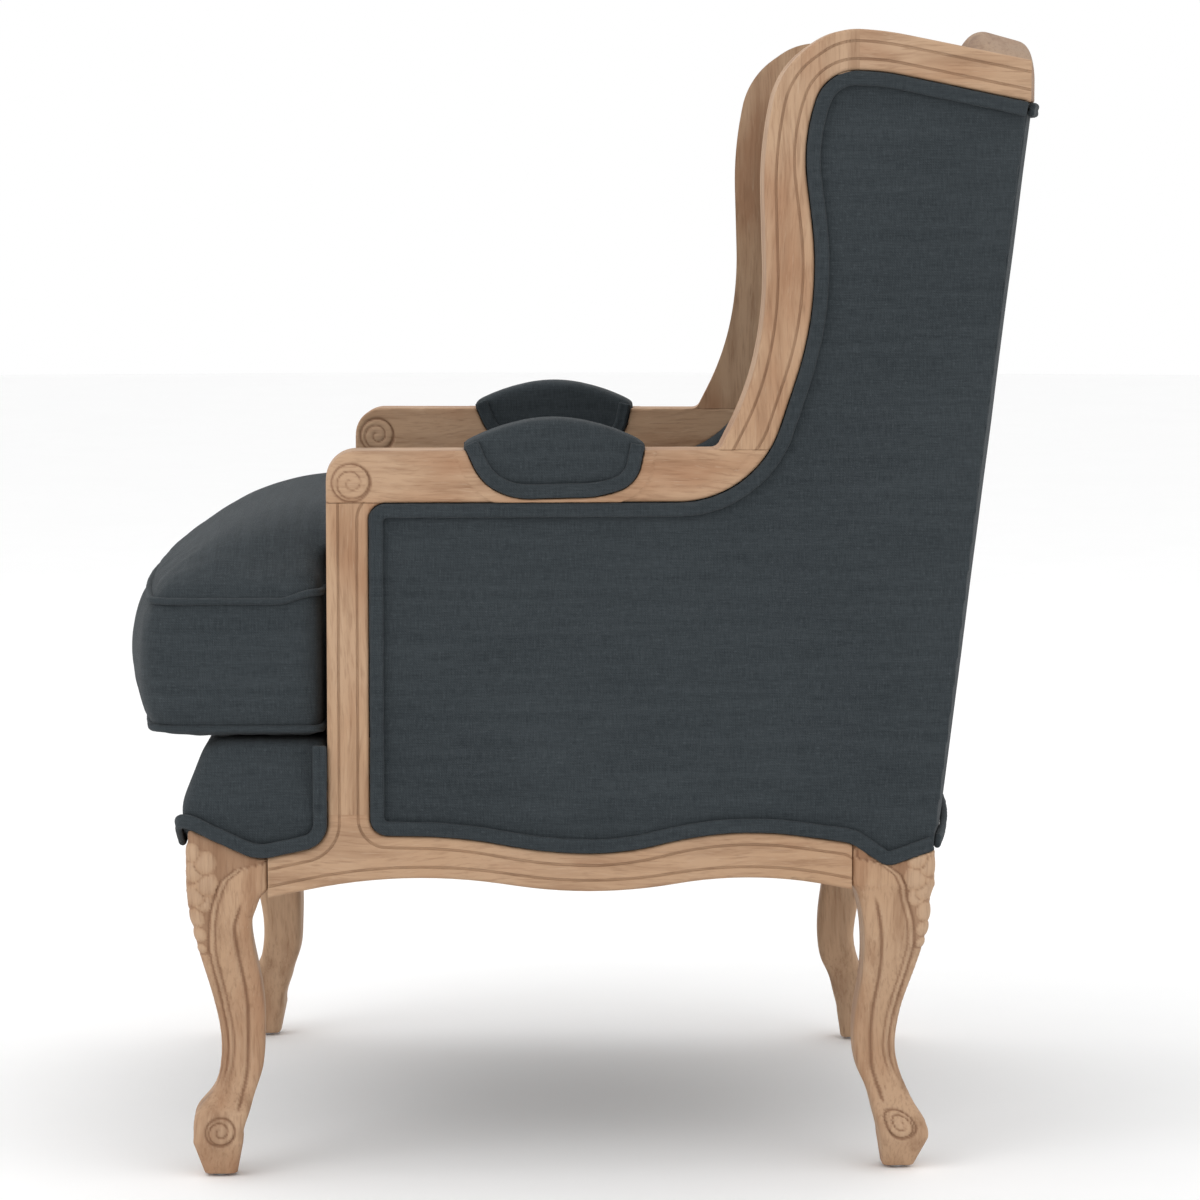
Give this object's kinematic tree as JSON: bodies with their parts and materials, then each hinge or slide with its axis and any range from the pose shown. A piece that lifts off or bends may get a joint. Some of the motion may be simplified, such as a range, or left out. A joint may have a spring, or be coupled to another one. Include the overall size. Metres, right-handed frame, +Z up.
{
  "type": "bergere armchair",
  "caption": "Winged bergere armchair with a carved limed show-wood frame, cabriole legs, tight linen upholstery with double welts and a loose T-shaped seat cushion.",
  "frame": {"origin": "on the floor, under the middle of the chair's box", "axes": "+Z up, the chair looks along -Y, +X is the sitter's left"},
  "size_m": [0.722, 0.8398, 1.019],
  "materials": {
    "show_wood": "limed oak, matt",
    "frame_wood": "bare beech",
    "steel": "plain",
    "hessian": "jute hessian and webbing",
    "linen": "heathered slate linen twill",
    "filling": "foam in a white wrap",
    "under_cloth": "black non-woven cloth",
    "zip_tape": "nylon coil zip",
    "zip_metal": "dark"
  },
  "bodies": {
    "chair_frame": {"front_leg_left": "show_wood", "front_leg_right": "show_wood", "back_leg_left": "show_wood", "back_leg_right": "show_wood", "front_seat_rail": "show_wood", "side_seat_rail_left": "show_wood", "side_seat_rail_right": "show_wood", "back_seat_rail": "show_wood", "arm_post_left": "show_wood", "arm_post_right": "show_wood", "arm_rail_left": "show_wood", "arm_rail_right": "show_wood", "wing_rail_left": "show_wood", "wing_rail_right": "show_wood", "wing_top_rail_left": "show_wood", "wing_top_rail_right": "show_wood", "crest_rail": "show_wood", "back_stile_left": "frame_wood", "back_stile_right": "frame_wood", "back_liner_rail": "frame_wood", "arm_liner_rail_left": "frame_wood", "arm_liner_rail_right": "frame_wood", "corner_blocks": "frame_wood", "frame_dowels": "frame_wood", "corner_block_screws": "steel", "foot_glides": "steel", "seat_springs": "steel", "spring_clips": "steel", "dust_cover_tacks": "steel", "seat_hessian": "hessian", "back_webbing": "hessian", "outside_panel_left": "linen", "outside_panel_right": "linen", "outside_back_panel": "linen", "inside_arm_pad_left": "linen", "inside_arm_pad_right": "linen", "inside_back_pad": "linen", "arm_pad_left": "linen", "arm_pad_right": "linen", "front_edge_pad": "linen", "seat_deck": "linen", "side_welt_left": "linen", "side_welt_right": "linen", "back_welts": "linen", "arm_pad_welt_left": "linen", "arm_pad_welt_right": "linen", "front_pad_welt": "linen", "dust_cover": "under_cloth"},
    "seat_cushion": {"seat_cushion_cover": "linen", "seat_cushion_core": "filling", "cushion_piping_bottom": "linen", "cushion_piping_top": "linen", "cushion_zip": "zip_tape"},
    "zip_slider": {"zip_slider": "zip_metal"}
  },
  "joints": [
    {"name": "cushion_lift", "type": "slide", "parent": "chair_frame", "child": "seat_cushion", "axis": [0, 0, 1], "range_m": [0, 0.3]},
    {"name": "zip_slide", "type": "slide", "parent": "seat_cushion", "child": "zip_slider", "axis": [1, 0, 0], "range_m": [0, 0.4]}
  ]
}
